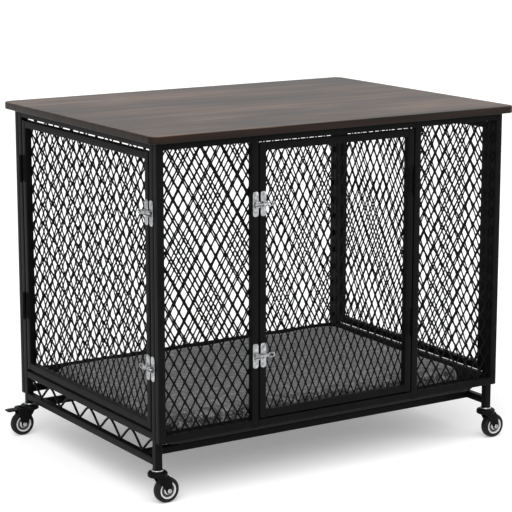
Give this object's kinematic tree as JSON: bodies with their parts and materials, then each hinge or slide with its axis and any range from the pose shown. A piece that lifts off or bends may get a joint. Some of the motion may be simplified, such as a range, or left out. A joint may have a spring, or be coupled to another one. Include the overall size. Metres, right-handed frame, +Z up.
{
  "type": "wire dog crate",
  "caption": "Furniture-style dog crate on swivel casters: black tube frame with expanded metal panels, wooden top, front and side doors, hanging tray and plush mat.",
  "frame": {"origin": "on the floor, under the middle of the crate", "axes": "+X along the crate's length, to the right as seen from the front; +Y from the front towards the back; +Z up, out of the tabletop"},
  "size_m": [0.921, 0.65, 0.73],
  "materials": {
    "black_powder_coat": "satin",
    "dark_wood": "satin",
    "grey_plush": "matte",
    "zinc": "bright",
    "tray_black": "satin",
    "caster_tyre": "matte",
    "caster_hub": "satin"
  },
  "bodies": {
    "frame": {"tabletop": "dark_wood", "side_frame_left": "black_powder_coat", "side_frame_right": "black_powder_coat", "truss_wire_left": "black_powder_coat", "truss_wire_right": "black_powder_coat", "front_frame": "black_powder_coat", "front_mesh_left": "black_powder_coat", "front_mesh_right": "black_powder_coat", "back_frame": "black_powder_coat", "back_mesh": "black_powder_coat", "right_panel_frame": "black_powder_coat", "right_panel_mesh": "black_powder_coat", "cross_bar_front": "black_powder_coat", "cross_bar_back": "black_powder_coat", "tray": "tray_black", "mat": "grey_plush", "front_door_hinge_upper_frame_leaf": "black_powder_coat", "front_door_latch_upper_keeper": "zinc", "front_door_hinge_lower_frame_leaf": "black_powder_coat", "front_door_latch_lower_keeper": "zinc", "side_door_hinge_upper_frame_leaf": "black_powder_coat", "side_door_latch_upper_keeper": "zinc", "side_door_hinge_lower_frame_leaf": "black_powder_coat", "side_door_latch_lower_keeper": "zinc", "caster_front_left_stem": "zinc", "caster_front_right_stem": "zinc", "caster_back_left_stem": "zinc", "caster_back_right_stem": "zinc"},
    "front_door": {"front_door_frame": "black_powder_coat", "front_door_mesh": "black_powder_coat", "front_door_hinge_upper_door_leaf": "black_powder_coat", "front_door_hinge_lower_door_leaf": "black_powder_coat", "front_door_latch_upper_housing": "zinc", "front_door_latch_lower_housing": "zinc"},
    "side_door": {"side_door_frame": "black_powder_coat", "side_door_mesh": "black_powder_coat", "side_door_hinge_upper_door_leaf": "black_powder_coat", "side_door_hinge_lower_door_leaf": "black_powder_coat", "side_door_latch_upper_housing": "zinc", "side_door_latch_lower_housing": "zinc"},
    "front_door_bolt_upper": {"front_door_latch_upper_bolt": "zinc"},
    "front_door_bolt_lower": {"front_door_latch_lower_bolt": "zinc"},
    "side_door_bolt_upper": {"side_door_latch_upper_bolt": "zinc"},
    "side_door_bolt_lower": {"side_door_latch_lower_bolt": "zinc"},
    "swivel_front_left": {"caster_front_left_fork": "black_powder_coat"},
    "wheel_front_left": {"caster_front_left_tyre": "caster_tyre", "caster_front_left_hub": "caster_hub"},
    "swivel_front_right": {"caster_front_right_fork": "black_powder_coat"},
    "wheel_front_right": {"caster_front_right_tyre": "caster_tyre", "caster_front_right_hub": "caster_hub"},
    "swivel_back_left": {"caster_back_left_fork": "black_powder_coat"},
    "wheel_back_left": {"caster_back_left_tyre": "caster_tyre", "caster_back_left_hub": "caster_hub"},
    "pedal_back_left": {"caster_back_left_pedal": "black_powder_coat"},
    "swivel_back_right": {"caster_back_right_fork": "black_powder_coat"},
    "wheel_back_right": {"caster_back_right_tyre": "caster_tyre", "caster_back_right_hub": "caster_hub"},
    "pedal_back_right": {"caster_back_right_pedal": "black_powder_coat"}
  },
  "joints": [
    {"name": "front_door_swing", "type": "hinge", "parent": "frame", "child": "front_door", "pos_m": [0.1885, -0.3098, 0.4205], "axis": [0, 0, 1], "range_deg": [0, 170]},
    {"name": "side_door_swing", "type": "hinge", "parent": "frame", "child": "side_door", "pos_m": [-0.4223, 0.2735, 0.422], "axis": [0, 0, -1], "range_deg": [0, 170]},
    {"name": "front_door_bolt_upper_slide", "type": "slide", "parent": "front_door", "child": "front_door_bolt_upper", "axis": [1, 0, 0], "range_m": [0, 0.017]},
    {"name": "front_door_bolt_lower_slide", "type": "slide", "parent": "front_door", "child": "front_door_bolt_lower", "axis": [1, 0, 0], "range_m": [0, 0.017]},
    {"name": "side_door_bolt_upper_slide", "type": "slide", "parent": "side_door", "child": "side_door_bolt_upper", "axis": [0, 1, 0], "range_m": [0, 0.017]},
    {"name": "side_door_bolt_lower_slide", "type": "slide", "parent": "side_door", "child": "side_door_bolt_lower", "axis": [0, 1, 0], "range_m": [0, 0.017]},
    {"name": "swivel_front_left_turn", "type": "hinge", "parent": "frame", "child": "swivel_front_left", "pos_m": [-0.41, -0.2825, 0.061], "axis": [0, 0, 1], "continuous": true},
    {"name": "wheel_front_left_roll", "type": "hinge", "parent": "swivel_front_left", "child": "wheel_front_left", "pos_m": [-0.391, -0.2825, 0.026], "axis": [0, 1, 0], "continuous": true},
    {"name": "swivel_front_right_turn", "type": "hinge", "parent": "frame", "child": "swivel_front_right", "pos_m": [0.41, -0.2825, 0.061], "axis": [0, 0, 1], "continuous": true},
    {"name": "wheel_front_right_roll", "type": "hinge", "parent": "swivel_front_right", "child": "wheel_front_right", "pos_m": [0.429, -0.2825, 0.026], "axis": [0, 1, 0], "continuous": true},
    {"name": "swivel_back_left_turn", "type": "hinge", "parent": "frame", "child": "swivel_back_left", "pos_m": [-0.41, 0.2825, 0.061], "axis": [0, 0, 1], "continuous": true},
    {"name": "wheel_back_left_roll", "type": "hinge", "parent": "swivel_back_left", "child": "wheel_back_left", "pos_m": [-0.429, 0.2825, 0.026], "axis": [0, 1, 0], "continuous": true},
    {"name": "pedal_back_left_press", "type": "hinge", "parent": "swivel_back_left", "child": "pedal_back_left", "pos_m": [-0.437, 0.2825, 0.059], "axis": [0, -1, 0], "range_deg": [0, 10]},
    {"name": "swivel_back_right_turn", "type": "hinge", "parent": "frame", "child": "swivel_back_right", "pos_m": [0.41, 0.2825, 0.061], "axis": [0, 0, 1], "continuous": true},
    {"name": "wheel_back_right_roll", "type": "hinge", "parent": "swivel_back_right", "child": "wheel_back_right", "pos_m": [0.391, 0.2825, 0.026], "axis": [0, 1, 0], "continuous": true},
    {"name": "pedal_back_right_press", "type": "hinge", "parent": "swivel_back_right", "child": "pedal_back_right", "pos_m": [0.383, 0.2825, 0.059], "axis": [0, -1, 0], "range_deg": [0, 10]}
  ]
}
